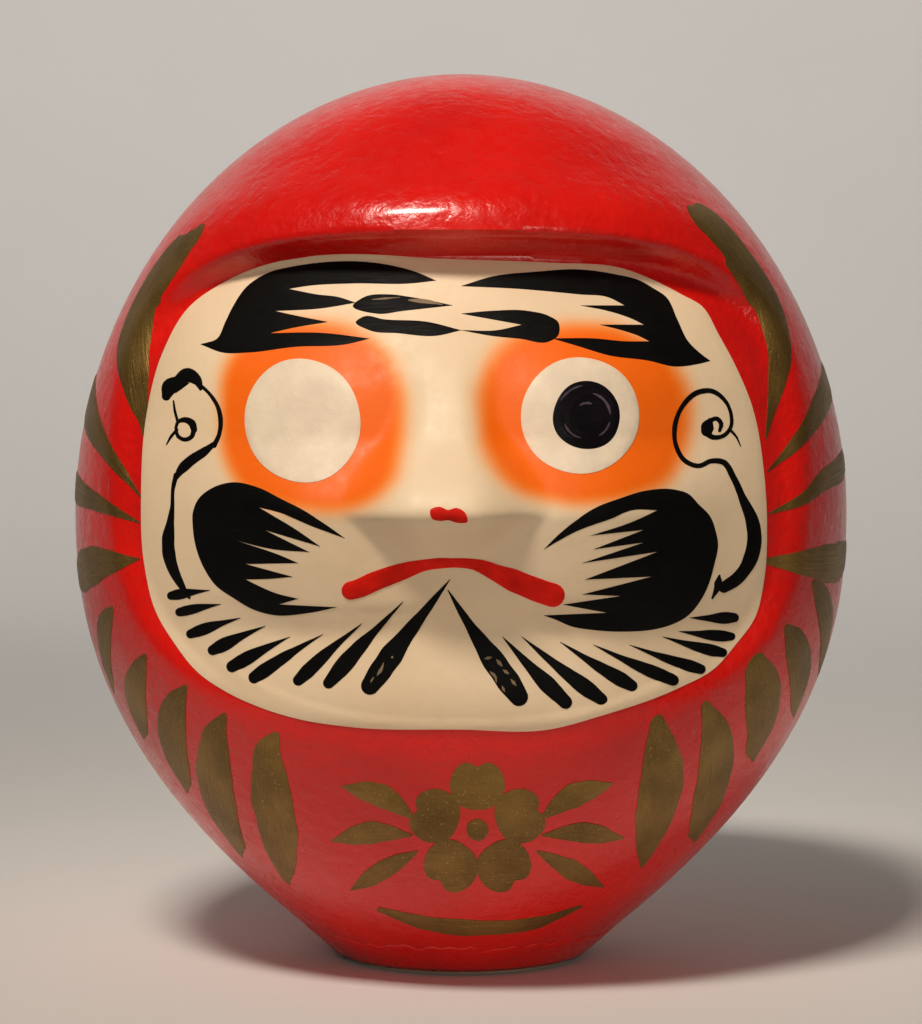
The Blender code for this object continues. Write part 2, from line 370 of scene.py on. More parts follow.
def brushed(route, widths, step, wobble, seed):
    """Outline of one stroke of a brush along a route, as wide as its widths at even steps along it, and
    the line down its middle."""
    line = flowing(route, step, closed=False)
    along = run_of(line)
    half = 0.5 * np.interp(along / along[-1], np.linspace(0.0, 1.0, len(widths)), widths)
    draw = np.random.default_rng(seed)
    shake = np.convolve(draw.normal(0.0, 1.0, len(line) + 10), np.hanning(11) / 5.0, "valid")
    half = half * (1.0 + 2.2 * wobble * shake)
    ways = ways_of(line)
    side = np.stack([-ways[:, 1], ways[:, 0]], axis=1)
    left = line + side * half[:, None]
    right = line - side * half[:, None]
    turn = np.linspace(0.0, math.pi, 9)[1:-1, None]
    end = line[-1] + half[-1] * (np.cos(turn) * side[-1] + np.sin(turn) * ways[-1])
    start = line[0] - half[0] * (np.cos(turn) * side[0] + np.sin(turn) * ways[0])
    return np.concatenate([left, end, right[::-1], start]), line


def all_brushed(strokes, step, wobble, first_seed):
    """One brushed patch for each route and its widths."""
    patches = []
    for number, (route, widths) in enumerate(strokes):
        patches.append(brushed(route, widths, step, wobble, first_seed + number))
    return patches


def inside(points, outline):
    """Which points lie within a closed outline."""
    x, y = points[:, 0:1], points[:, 1:2]
    x0, y0 = outline[:, 0], outline[:, 1]
    x1, y1 = np.roll(x0, -1), np.roll(y0, -1)
    spans = (y0 > y) != (y1 > y)
    run = np.where(y1 == y0, 1.0, y1 - y0)
    crosses = spans & (x < x0 + (y - y0) * (x1 - x0) / run)
    return crosses.sum(axis=1) % 2 == 1


def edge_distance(points, outline):
    """How far points lie from a closed outline."""
    nearest = np.full(len(points), 1e9)
    ends = np.roll(outline, -1, axis=0)
    for a, b in zip(outline, ends):
        way = b - a
        share = np.clip(((points - a) @ way) / max(way @ way, 1e-12), 0.0, 1.0)
        nearest = np.minimum(nearest, np.linalg.norm(points - a - share[:, None] * way, axis=1))
    return nearest


def filled(outline, grid):
    """Points and triangles that fill a closed outline, with inner points about a grid step apart."""
    low, high = outline.min(axis=0), outline.max(axis=0)
    seeds = []
    for number, y in enumerate(np.arange(low[1], high[1], 0.87 * grid)):
        seeds += [(x, y) for x in np.arange(low[0] + 0.5 * grid * (number % 2), high[0], grid)]
    seeds = np.array(seeds)
    seeds = seeds[inside(seeds, outline)]
    if len(seeds):
        seeds = seeds[edge_distance(seeds, outline) > 0.45 * grid]
    points = np.concatenate([outline, seeds])
    loop = list(range(len(outline)))
    made = delaunay_2d_cdt([Vector(p) for p in points.tolist()], [], [loop], 1, 1e-5)
    return np.array([tuple(p) for p in made[0]]), [tuple(f) for f in made[2]]


def thrown(flat):
    """Where points of the upright drawing plane land on the front, and the outward directions there."""
    share = np.full(len(flat), 0.9)
    for _ in range(16):
        x = share * flat[:, 0]
        z = PAINTER_Z + share * (flat[:, 1] - PAINTER_Z)
        y = front_y(x, z)
        share = (y - PAINTER_Y) / -PAINTER_Y
    slope_x = (front_y(x + NUDGE, z) - front_y(x - NUDGE, z)) / (2.0 * NUDGE)
    slope_z = (front_y(x, z + NUDGE) - front_y(x, z - NUDGE)) / (2.0 * NUDGE)
    out = np.stack([slope_x, -np.ones(len(x)), slope_z], axis=1)
    return np.stack([x, y, z], axis=1), out / np.linalg.norm(out, axis=1)[:, None]


def wrapped(flat):
    """Where points of the unrolled body land, given as arc lengths and heights, and which way is out."""
    azimuth = flat[:, 0] / CHART_MM_PER_DEGREE
    z = flat[:, 1]
    place = skin(azimuth, z)
    sideways = skin(azimuth + NUDGE, z) - skin(azimuth - NUDGE, z)
    upward = skin(azimuth, z + NUDGE) - skin(azimuth, z - NUDGE)
    out = np.cross(sideways, upward)
    return place, out / np.linalg.norm(out, axis=1)[:, None]


def facing_out(flat, triangles):
    """The triangles, turned round if they run clockwise."""
    area = 0.0
    for a, b, c in triangles:
        ab, ac = flat[b] - flat[a], flat[c] - flat[a]
        area += ab[0] * ac[1] - ab[1] * ac[0]
    return [face[::-1] for face in triangles] if area < 0.0 else triangles


def rim_edges(triangles):
    """Edges with a triangle on one side only."""
    edges = [pair for face in triangles for pair in zip(face, face[1:] + face[:1])]
    used = set(edges)
    return [(a, b) for a, b in edges if (b, a) not in used]


def bristle_place(flat, line, number):
    """How far along and across its brush line each point of a patch lies. Patches of one piece are
    shifted apart, so that their streaks differ, and one with no brush line keeps its flat points."""
    if line is None:
        return flat
    gaps = np.linalg.norm(flat[:, None, :] - line[None, :, :], axis=2)
    near = gaps.argmin(axis=1)
    ways = ways_of(line)[near]
    off = flat - line[near]
    sideways = off[:, 1] * ways[:, 0] - off[:, 0] * ways[:, 1]
    return np.stack([run_of(line)[near], sideways + BRISTLE_SHIFT * number], axis=1)


def paint(name, patches, material, slot, level=COAT, thick=STROKE, grid=0.8, edge=0.35, lay=thrown):
    """Patches of thick paint on the body: each an outline, or an outline and the line of its brush.
    The paint lies at a level over the skin and rises to its thickness within edge of the outline."""
    points, faces, drawn = [], [], []
    count = 0
    for number, patch in enumerate(patches):
        outline, line = patch if isinstance(patch, tuple) else (patch, None)
        flat, triangles = filled(outline, grid)
        triangles = facing_out(flat, triangles)
        inward = np.minimum(edge_distance(flat, outline) / edge, 1.0)
        rise = EDGE_SHARE + (1.0 - EDGE_SHARE) * np.sqrt(1.0 - (1.0 - inward) ** 2)
        place, out = lay(flat)
        base = level + LAYER_STEP * (number % LAYERS)
        points.append(place + out * (base + thick * rise)[:, None])
        points.append(place + out * (base - SUNK))
        under = count + len(flat)
        faces += [tuple(count + v for v in face) for face in triangles]
        faces += [tuple(under + v for v in face[::-1]) for face in triangles]
        faces += [(count + b, count + a, under + a, under + b) for a, b in rim_edges(triangles)]
        drawn += [bristle_place(flat, line, number)] * 2
        count = under + len(flat)
    along, across = np.concatenate(drawn).T
    attributes = {"along": along, "across": across}
    piece = new_mesh(name, np.concatenate(points), faces, material, attributes)
    piece.data.set_sharp_from_angle(angle=math.radians(PAINT_CREASE))
    settle(piece, slot)


# ---------------------------------------------------------------- materials

# Colours: the darker and the lighter pools of each paint, and its grain, streaks or flakes
RED_POOLS = ((0.60, 0.004, 0.002), (0.74, 0.008, 0.003))
RED_GRAIN = (0.48, 0.003, 0.002)
IVORY_POOLS = ((0.78, 0.585, 0.375), (0.86, 0.665, 0.45))
IVORY_GRAIN = (0.66, 0.50, 0.33)
GOLD_POOLS = ((0.15, 0.082, 0.016), (0.28, 0.165, 0.038))
GOLD_STREAK = (0.12, 0.045, 0.010)
GOLD_FLAKE = (0.62, 0.43, 0.15)
CHALK_POOLS = ((0.75, 0.605, 0.45), (0.84, 0.69, 0.51))
CLAY_POOLS = ((0.34, 0.17, 0.10), (0.50, 0.30, 0.19))
CLAY_GRIT = (0.62, 0.45, 0.32)
FLOOR_POOLS = ((0.74, 0.72, 0.69), (0.78, 0.76, 0.73))

# Glows of orange round the eyes: x, z, half width and half height
EYE_GLOWS = [(-24.8, 99.9, 15.9, 15.5), (20.4, 100.6, 17.8, 14.6)]
GLOW_CORNER = 2.5
# Where each tint of a glow starts to fade and where it is gone, as shares of its half sizes
GLOW_TINTS = [(0.88, 1.17, (0.93, 0.33, 0.045)), (0.84, 1.08, (0.92, 0.142, 0.002))]
GLOW_WANDER = 0.05


def add(tree, kind, settings=None, **inputs):
    """A node with its settings, and inputs given as values or as other nodes' outputs."""
    made = tree.nodes.new("ShaderNode" + kind)
    for key, value in (settings or {}).items():
        setattr(made, key, value)
    for key, value in inputs.items():
        socket = made.inputs[int(key[1:]) if key[1:].isdigit() else key]
        if isinstance(value, bpy.types.NodeSocket):
            tree.links.new(value, socket)
        else:
            socket.default_value = value
    return made


def new_material(name):
    """A material, its node tree, its shader and its places, in metres and the same over all pieces."""
    material = bpy.data.materials.new(name)
    material.use_nodes = True
    tree = material.node_tree
    return material, tree, tree.nodes["Principled BSDF"], add(tree, "TexCoord").outputs["Object"]


def noise(tree, place, scale, detail=3.0, roughness=0.55):
    """Noise that turns over about scale times in each unit of place."""
    made = add(tree, "TexNoise", Vector=place, Scale=scale, Detail=detail, Roughness=roughness)
    return made.outputs["Fac"]


def ranged(tree, value, low, high, to_low, to_high):
    """A value between low and high moved to the range between to_low and to_high."""
    return add(tree, "MapRange", i0=value, i1=low, i2=high, i3=to_low, i4=to_high).outputs[0]


def blended(tree, share, first, second):
    """The first colour where share is 0 and the second where it is 1."""
    made = tree.nodes.new("ShaderNodeMix")
    made.data_type = "RGBA"
    for socket, value in ((made.inputs[0], share), (made.inputs[6], first), (made.inputs[7], second)):
        if isinstance(value, bpy.types.NodeSocket):
            tree.links.new(value, socket)
        elif isinstance(value, (int, float)):
            socket.default_value = value
        else:
            socket.default_value = (*value, 1.0)
    return made.outputs[2]


def combine(tree, operation, first, second=0.0):
    """A Math node's result from two values, or from the first alone."""
    return add(tree, "Math", {"operation": operation}, i0=first, i1=second).outputs[0]


def coloured(tree, shader, color, roughness):
    """Gives a shader its colour and roughness."""
    tree.links.new(color, shader.inputs["Base Color"])
    tree.links.new(roughness, shader.inputs["Roughness"])


def bumped(tree, shader, heights, strength, distance):
    """Adds up heights, each a socket and its weight, into the shader's normal."""
    total = None
    for value, weight in heights:
        part = combine(tree, "MULTIPLY", value, weight)
        total = part if total is None else combine(tree, "ADD", total, part)
    bump = add(tree, "Bump", Height=total, Strength=strength, Distance=distance)
    tree.links.new(bump.outputs["Normal"], shader.inputs["Normal"])


def brush_place(tree, along_scale, across_scale):
    """Coordinates that run along a stroke and across its bristles."""
    along = add(tree, "Attribute", {"attribute_name": "along"}).outputs["Fac"]
    across = add(tree, "Attribute", {"attribute_name": "across"}).outputs["Fac"]
    return add(
        tree,
        "CombineXYZ",
        X=combine(tree, "MULTIPLY", along, along_scale),
        Y=combine(tree, "MULTIPLY", across, across_scale),
    ).outputs[0]


def red_paint():
    """Glossy red over the pores and dents of the paper."""
    material, tree, shader, place = new_material("red_paint")
    cloud = noise(tree, place, 34.0, 4.0)
    grain = noise(tree, place, 420.0)
    fine = noise(tree, place, 1500.0, 2.0)
    pools = ranged(tree, cloud, 0.35, 0.68, 0.0, 1.0)
    color = blended(tree, pools, *RED_POOLS)
    color = blended(tree, ranged(tree, grain, 0.60, 0.80, 0.0, 0.35), color, RED_GRAIN)
    coloured(tree, shader, color, ranged(tree, grain, 0.3, 0.75, 0.24, 0.42))
    shader.inputs["Specular IOR Level"].default_value = 0.35
    shader.inputs["Coat Weight"].default_value = 0.30
    shader.inputs["Coat Roughness"].default_value = 0.10
    bumped(tree, shader, [(noise(tree, place, 150.0), 1.0), (grain, 0.9), (fine, 0.08)], 0.6, 0.0006)
    return material


def distance_from(tree, place, x, z, half_width, half_height, power):
    """1 on an oval ring round a point of the face, less inside it."""
    parts = add(tree, "SeparateXYZ", Vector=place)
    total = None
    for axis, centre, half in (("X", x, half_width), ("Z", z, half_height)):
        off = combine(tree, "SUBTRACT", parts.outputs[axis], centre * MM)
        off = combine(tree, "ABSOLUTE", combine(tree, "DIVIDE", off, half * MM))
        part = combine(tree, "POWER", off, power)
        total = part if total is None else combine(tree, "ADD", total, part)
    return combine(tree, "POWER", total, 1.0 / power)


def face_paint():
    """Satin ivory, with the orange laid softly round the eyes."""
    material, tree, shader, place = new_material("ivory_paint")
    cloud = noise(tree, place, 45.0, 4.0)
    grain = noise(tree, place, 520.0)
    color = blended(tree, ranged(tree, cloud, 0.3, 0.7, 0.0, 1.0), *IVORY_POOLS)
    color = blended(tree, ranged(tree, grain, 0.62, 0.85, 0.0, 0.25), color, IVORY_GRAIN)
    wander = ranged(tree, noise(tree, place, 60.0, 1.0), 0.3, 0.7, -GLOW_WANDER, GLOW_WANDER)
    soft = {"interpolation_type": "SMOOTHSTEP"}
    for glow in EYE_GLOWS:
        ring = combine(tree, "ADD", distance_from(tree, place, *glow, GLOW_CORNER), wander)
        for fades, gone, tint in GLOW_TINTS:
            share = add(tree, "MapRange", soft, i0=ring, i1=fades, i2=gone, i3=1.0, i4=0.0)
            color = blended(tree, share.outputs[0], color, tint)
    coloured(tree, shader, color, ranged(tree, grain, 0.3, 0.75, 0.42, 0.58))
    shader.inputs["Specular IOR Level"].default_value = 0.3
    bumped(tree, shader, [(noise(tree, place, 160.0), 1.0), (grain, 0.4)], 0.3, 0.0004)
    return material


def ink(name, dark, streak, streak_share, roughness):
    """Brushed paint whose bristles leave streaks."""
    material, tree, shader, place = new_material(name)
    bristles = noise(tree, brush_place(tree, 0.18, 2.6), 1.0, 4.0, 0.6)
    cloud = noise(tree, place, 150.0)
    share = ranged(tree, bristles, 0.62, 0.80, 0.0, streak_share)
    share = combine(tree, "MULTIPLY", share, ranged(tree, cloud, 0.42, 0.60, 0.15, 1.0))
    color = blended(tree, ranged(tree, cloud, 0.3, 0.7, 0.0, 1.0), dark, tuple(1.8 * v for v in dark))
    uneven = ranged(tree, bristles, 0.3, 0.7, roughness - 0.08, roughness + 0.12)
    coloured(tree, shader, blended(tree, share, color, streak), uneven)
    shader.inputs["Specular IOR Level"].default_value = 0.07
    bumped(tree, shader, [(bristles, 1.0), (noise(tree, place, 900.0, 2.0), 0.25)], 0.25, 0.00025)
    return material


def gold_paint():
    """Bronze-gold paint with flakes that catch the light."""
    material, tree, shader, place = new_material("gold_paint")
    bristles = noise(tree, brush_place(tree, 0.12, 1.7), 1.0, 4.0, 0.6)
    flakes = noise(tree, place, 2600.0, 2.0)
    cloud = noise(tree, place, 90.0)
    pools = ranged(tree, cloud, 0.3, 0.7, 0.0, 1.0)
    color = blended(tree, pools, *GOLD_POOLS)
    color = blended(tree, ranged(tree, bristles, 0.60, 0.78, 0.0, 0.55), color, GOLD_STREAK)
    color = blended(tree, ranged(tree, flakes, 0.62, 0.74, 0.0, 0.6), color, GOLD_FLAKE)
    coloured(tree, shader, color, ranged(tree, bristles, 0.3, 0.7, 0.36, 0.55))
    shader.inputs["Metallic"].default_value = 0.72
    bumped(tree, shader, [(bristles, 1.0), (flakes, 0.2)], 0.5, 0.0003)
    return material


def chalk_paint():
    """Dull white of the eyes."""
    material, tree, shader, place = new_material("chalk_white")
    cloud = noise(tree, place, 170.0, 4.0)
    grain = noise(tree, place, 700.0)
    color = blended(tree, ranged(tree, cloud, 0.35, 0.65, 0.0, 1.0), *CHALK_POOLS)
    coloured(tree, shader, color, ranged(tree, grain, 0.3, 0.7, 0.5, 0.68))
    bumped(tree, shader, [(cloud, 1.0), (grain, 0.5)], 0.4, 0.0004)
    return material


def paper(name, dark, light, fibre, roughness):
    """Bare paper with fibres that run along X."""
    material, tree, shader, place = new_material(name)
    drawn_out = add(tree, "Mapping", Vector=place, Scale=(1.0, 5.0, 5.0)).outputs["Vector"]
    threads = noise(tree, drawn_out, 260.0, 5.0, 0.65)
    cloud = noise(tree, place, 70.0, 4.0)
    color = blended(tree, ranged(tree, cloud, 0.3, 0.7, 0.0, 1.0), dark, light)
    color = blended(tree, ranged(tree, threads, 0.60, 0.72, 0.0, 0.6), color, fibre)
    coloured(tree, shader, color, ranged(tree, threads, 0.3, 0.7, roughness - 0.06, roughness + 0.05))
    bumped(tree, shader, [(threads, 1.0), (cloud, 1.2)], 0.6, 0.0003)
    return material


def clay():
    """Fired clay of the weight in the foot."""
    material, tree, shader, place = new_material("fired_clay")
    grit = noise(tree, place, 900.0, 4.0, 0.7)
    cloud = noise(tree, place, 80.0, 4.0)
    color = blended(tree, ranged(tree, cloud, 0.3, 0.7, 0.0, 1.0), *CLAY_POOLS)
    color = blended(tree, ranged(tree, grit, 0.62, 0.75, 0.0, 0.7), color, CLAY_GRIT)
    coloured(tree, shader, color, ranged(tree, grit, 0.3, 0.7, 0.82, 0.95))
    bumped(tree, shader, [(grit, 1.0), (cloud, 2.0)], 0.6, 0.0004)
    return material


# ---------------------------------------------------------------- paint on the face

# Outlines and routes are x and z on the upright drawing plane
FACE_OUTLINE = [
    (-27.5, 127), (-35.5, 125.5), (-43.5, 122), (-49, 118), (-54, 109.5), (-57, 98), (-58, 84.5),
    (-57.5, 71), (-55.5, 62.5), (-52, 56.5), (-48, 51.5), (-43, 48), (-36.5, 45), (-30, 43),
    (-20.5, 41.5), (0, 41), (16, 41), (25.5, 43.5), (39.5, 48.5), (46, 52), (50, 56.5), (53.5, 61.5),
    (55, 68), (55.5, 79), (55, 87), (52.5, 100.5), (49.5, 107.5), (46.5, 113), (43.5, 118), (40, 120),
    (34.5, 122.8), (29.5, 124.7), (16, 125.8), (0, 126.4),
]

BROW_LEFT = [
    (-47, 111, TIP), (-44, 112), (-42.5, 115), (-41, 118), (-38.5, 121.5), (-34.5, 124), (-30.5, 125),
    (-21, 126), (-14, 125.5), (-8, 124), (-4.5, 122.5, TIP), (-9, 122), (-19.5, 122), (-28, 121.5),
    (-31, 121, TIP), (-26, 120), (-22, 119.5), (-19, 118.5, TIP), (-25, 117.5), (-33.5, 117, TIP),
    (-29, 116), (-24, 115, TIP), (-30, 114), (-34.5, 113, TIP), (-25, 113), (-16.5, 112, TIP),
    (-20.5, 111), (-30, 110.5), (-38.5, 109.5), (-43, 109.5),
]

BROW_RIGHT = [
    (0, 121.5, TIP), (5.5, 123.2), (13.5, 124.1), (21.5, 124.5), (28, 123.6), (32, 122.6), (34.5, 121.2),
    (37, 119.5), (39, 115.5), (41, 111.5), (43, 109.5), (45, 108, TIP), (43, 107.5), (38.5, 107),
    (34, 108), (26.5, 109), (21.5, 110.5), (16.5, 112, TIP), (24, 112), (29.5, 111.5), (34, 111.5, TIP),
    (32, 112.5), (29, 113.5), (25, 114.5, TIP), (30, 114.5), (33, 114.5, TIP), (31, 115.5), (26.5, 117),
    (21.5, 118, TIP), (25.5, 118), (29.5, 118, TIP), (26.5, 119.5), (21.5, 120), (10.5, 121),
]

MIDDLE_BROWS = [
    [(-19.5, 118), (-17.5, 119.5), (-13, 120), (-9, 119.5), (-1.5, 118, TIP), (-6, 117.5), (-10.5, 117),
     (-15, 116.5)],
    [(-19, 115), (-17.5, 116), (-14, 115.5), (-6, 115), (0, 113.5, TIP), (-4.5, 112.5), (-11.5, 113),
     (-16.5, 113.5)],
    [(0, 116.5, TIP), (5.5, 117), (12, 117), (16, 116), (17.5, 115), (17.5, 112.5), (16, 111.5),
     (10.5, 112), (5.5, 112.5), (0, 113.5, TIP), (6.5, 113.5), (11, 114.5, TIP), (5.5, 115.5)],
]

MOUSTACHE_LEFT = [
    (-21, 76, TIP), (-24.5, 78.5), (-28.5, 81), (-32.5, 83), (-36.5, 85), (-41.5, 86), (-45, 85),
    (-47.5, 83), (-48.5, 80.5), (-48.5, 78), (-48, 74.5), (-46.5, 70.5), (-44.5, 67.5), (-41, 65),
    (-37.5, 63), (-33.5, 62), (-28.5, 62.3), (-22.5, 63.5, TIP), (-27, 63.7), (-33, 64, TIP),
    (-29.5, 65, TIP), (-33.5, 66), (-37, 67.5), (-39, 68.5, TIP), (-35, 68.6), (-30.5, 69, TIP),
    (-39, 71.3, TIP), (-29.5, 71.5, TIP), (-33, 73), (-40.5, 75.5, TIP), (-34, 74), (-27.5, 73.5, TIP),
    (-35.5, 77.5, TIP), (-25.5, 74.5, TIP), (-30.5, 78), (-36.5, 81.5, TIP), (-32.5, 80.5), (-27, 78.2),
]

MOUSTACHE_RIGHT = [
    (15, 74, TIP), (17.5, 76.5), (20.5, 79), (24.5, 81.5), (28.5, 83), (33.5, 84.5), (38.5, 84.7),
    (41, 84), (43, 82), (45, 80), (46, 77.5), (46.5, 75), (45.8, 71), (45, 68), (43.5, 64.8), (41, 61.8),
    (38, 60.2), (35, 59.4), (30, 59), (24, 59.3), (20, 60), (17, 61.3), (15, 62, TIP), (26.5, 62.5, TIP),
    (18.5, 64, TIP), (29, 65.5, TIP), (22, 65.8, TIP), (34.5, 69, TIP), (22.5, 68.5, TIP),
    (35.5, 73.5, TIP), (22, 71.5, TIP), (33, 75.2, TIP), (24, 74, TIP), (33, 77.5, TIP),
    (23.5, 76.5, TIP), (30.5, 78.8), (35.5, 81, TIP), (31, 81), (27, 79.5), (21, 77.3),
]

# Strokes of the beard: root, tip and width
BEARD_LEFT = [
    ((-52.5, 65.5), (-45.5, 66.5), 1.9), ((-51, 62.5), (-43.5, 64), 1.9), ((-49, 58.5), (-40, 61.5), 2.1),
    ((-45, 55.5), (-35.5, 60), 2.3), ((-41.5, 52.5), (-31, 58), 2.4), ((-37.5, 50.5), (-25, 58.5), 2.5),
    ((-29.5, 50), (-18, 60.5), 2.5), ((-24, 49.5), (-10.5, 64.5), 2.8), ((-16.5, 49), (-2, 68.5), 3.8),
]

BEARD_RIGHT = [
    ((10.5, 47), (-2.4, 66.6), 4.2), ((19, 46), (7.5, 58), 2.9), ((25.5, 46.5), (11, 58), 2.7),
    ((31, 49), (18, 57), 2.5), ((38.5, 50), (24, 56.5), 2.3), ((43.5, 52), (30.5, 56.5), 2.1),
    ((47.5, 55), (36.5, 58), 2.1), ((49, 58), (39.5, 59), 2.1), ((49.5, 61.5), (41.5, 61.5), 2.0),
]

# Strokes drawn as a route and the widths at even steps along it
EAR_LEFT = [
    ([(-53.2, 101.7), (-52.6, 103.2), (-51, 104.1), (-49.2, 105.4), (-47.5, 104.3), (-47, 103)],
     (1.6, 2.9, 2.3, 2.8, 2.0, 0.6)),
    ([(-47.3, 103.9), (-45.4, 102.1), (-43.9, 99.7), (-43.4, 97.2), (-43.7, 94.7), (-44.6, 92.7)],
     (0.6, 0.55, 0.7, 0.9, 0.8, 0.9)),
    ([(-44.4, 93.2), (-46.4, 91.6), (-48.8, 90), (-50.6, 88.3), (-51.6, 86.8)],
     (0.8, 1.6, 1.8, 1.7, 0.8)),
    ([(-51.5, 87.4), (-52.1, 84.7), (-52.2, 81.8), (-52.6, 78.7), (-53, 75.6), (-52.8, 72.7),
      (-51.9, 69.8), (-50.6, 67.3), (-49.2, 65.1)],
     (0.8, 0.6, 0.7, 1.3, 2.2, 2.4, 1.9, 1.3, 0.4)),
    ([(-51.5, 95.9), (-51.1, 97), (-49.9, 97.4), (-48.6, 96.8), (-48.2, 95.6)],
     (0.5, 0.6, 1.1, 1.4, 1.1)),
    ([(-48.2, 95.8), (-48.7, 94.3), (-49.9, 93.8), (-51.1, 94.4), (-51.5, 95.7)],
     (1.0, 0.8, 0.7, 0.7, 0.5)),
    ([(-51.9, 100.8), (-51.7, 99.2), (-51.2, 97.2)], (0.3, 0.45, 0.5)),
    ([(-51.3, 95.6), (-52.4, 94.3), (-53.2, 92.9)], (0.5, 0.5, 0.2)),
]

EAR_RIGHT = [
    ([(44.4, 95.4), (44.6, 96.4), (45, 97.2)], (2.0, 2.2, 1.9, 1.0)),
    ([(44.8, 97.2), (46.2, 97.6), (47, 96.6), (46.7, 95.4)], (0.8, 0.8, 0.8, 0.5)),
    ([(44, 95.2), (45.6, 94.2), (47.4, 94.5), (48.7, 96), (48.8, 98.2), (47.7, 100.8), (45.2, 102.6),
      (42.6, 102.3), (40.2, 100.2), (38.7, 96.8), (38.8, 92.8), (40.6, 89.8), (43, 89), (45.2, 89.9),
      (47.4, 89.7), (49.2, 87), (51, 83), (52.7, 79), (53.1, 75.5), (52, 71.3), (50, 68.6), (47.6, 67)],
     (1.2, 0.8, 0.6, 0.6, 0.8, 0.9, 0.9, 0.8, 0.8, 0.8, 0.9, 0.9, 1.0, 1.1, 1.3, 2.0, 2.6, 2.7, 2.5, 2.2,
      1.8)),
    ([(46.8, 69.2), (46.5, 67.2), (45.5, 65)], (0.3, 1.4, 0.9, 0.3)),
    ([(48.6, 95.6), (49.8, 94.2), (50.5, 92.6)], (0.5, 0.4, 0.15)),
]

MOUTH = (
    [
        (-20, 66.5), (-18.8, 66.8), (-15.6, 68.2), (-11.1, 69.8), (-6.5, 71.2), (-2, 71.6),
        (2.5, 71.3), (7.1, 69.4), (11.6, 67.5), (15.4, 66.1), (16.7, 65.7),
    ],
    (3.3, 3.5, 3.2, 2.7, 2.1, 1.75, 2.1, 3.0, 4.0, 4.4, 4.3),
)
NOSE_DAB = [
    (-5.6, 80.9), (-3.9, 81.5), (-2.4, 81), (-0.8, 81.3), (0.9, 80.4), (1.2, 79.2), (-0.7, 79),
    (-2.2, 79.4), (-3.8, 79.3), (-5.3, 79.7),
]

# Eye whites: x, z, half width, half height and lean
EYES = {"left": (-28.6, 97.1, 10.5, 11.2, -0.03), "right": (21.5, 98.0, 10.7, 10.5, 0.0)}
# White discs are thicker than the strokes, and the pupil lies on top of one: x, z and radius
EYE_THICKNESS = 0.30
PUPIL = (22.6, 98.0, 6.1)
PUPIL_THICKNESS = 0.12
# Rounds of the marker over the pupil: distance from its centre, from and to degrees, width
PUPIL_ROUNDS = [(4.9, -60, 150, 1.3), (4.7, 160, 290, 1.4), (3.1, 20, 200, 1.2), (2.9, 215, 370, 1.0)]
# Painted highlights on the pupil: lighter purple-grey arcs that stand for the sheen of light on the marker
# ink. Each is a distance from its centre, from and to degrees, and width
PUPIL_PAINTED_SHEENS = [
    (4.15, 5, 75, 0.5), (5.4, 100, 150, 0.35), (4.2, 200, 255, 0.4), (4.2, 300, 345, 0.4),
    (2.3, 70, 125, 0.5),
]
# Dry places on the black, where the brush ran out
DRY_MARKS = [
    ([(-12.8, 53.6), (-12.1, 54.8)], (0.1, 0.6, 0.1)),
    ([(-13.8, 52.2), (-12.8, 53.1)], (0.1, 0.5, 0.3, 0.1)),
    ([(-15.2, 50.9), (-14.4, 52.1), (-14, 53.2)], (0.1, 0.6, 0.4, 0.1)),
    ([(-16.4, 49.6), (-15.8, 50.6)], (0.1, 0.5, 0.1)),
    ([(4.2, 53.9), (5.6, 54.2)], (0.1, 0.6, 0.1)),
    ([(6.4, 53.8), (7.4, 52.6)], (0.1, 0.6, 0.2)),
    ([(5.2, 51.6), (6.2, 50.6), (6.4, 49.6)], (0.1, 0.7, 0.5, 0.1)),
    ([(7.6, 51.9), (8.6, 51.2)], (0.1, 0.6, 0.2)),
    ([(9, 50.2), (10, 49)], (0.1, 0.6, 0.1)),
    ([(7.4, 49), (7.9, 47.9)], (0.1, 0.5, 0.1)),
    ([(-22.8, 50.6), (-21.9, 51.6)], (0.1, 0.4, 0.1)),
    ([(-9.4, 118.9), (-6, 118.6), (-3.4, 118.1)], (0.2, 0.9, 0.7, 0.2)),
    ([(-16, 119), (-11, 119.4)], (0.1, 0.4, 0.1)),
]


def oval(x, z, half_width, half_height, wobble, seed, lean=0.0):
    """A hand-cut oval, whose top leans to +X."""
    turn = np.linspace(0.0, 2.0 * math.pi, 96, endpoint=False)
    draw = np.random.default_rng(seed)
    reach = 1.0
    for k in range(2, 7):
        reach = reach + wobble * draw.uniform(-1.0, 1.0) * np.sin(k * turn + draw.uniform(0.0, 6.28)) / k
    rise = half_height * reach * np.sin(turn)
    return np.stack([x + half_width * reach * np.cos(turn) + lean * rise, z + rise], axis=1)


def beard_stroke(root, tip, width, seed):
    """One tapering stroke, round at its root and bowed a little."""
    root, tip = np.array(root), np.array(tip)
    way = tip - root
    middle = root + 0.5 * way + 0.012 * np.array([-way[1], way[0]])
    route = [tuple(root), tuple(middle), tuple(tip)]
    widths = [share * width for share in (0.85, 1.05, 1.02, 0.84, 0.60, 0.40, 0.22, 0.03)]
    return brushed(route, widths, 0.6, 0.06, seed)


def arc_stroke(x, z, radius, start, end, width, seed):
    """A stroke round a centre, from one angle in degrees to another."""
    turns = np.radians(np.linspace(start, end, 9))
    route = [(x + radius * math.cos(turn), z + radius * math.sin(turn)) for turn in turns]
    return brushed(route, (0.3 * width, width, 0.8 * width, width, 0.3 * width), 0.4, 0.1, seed)


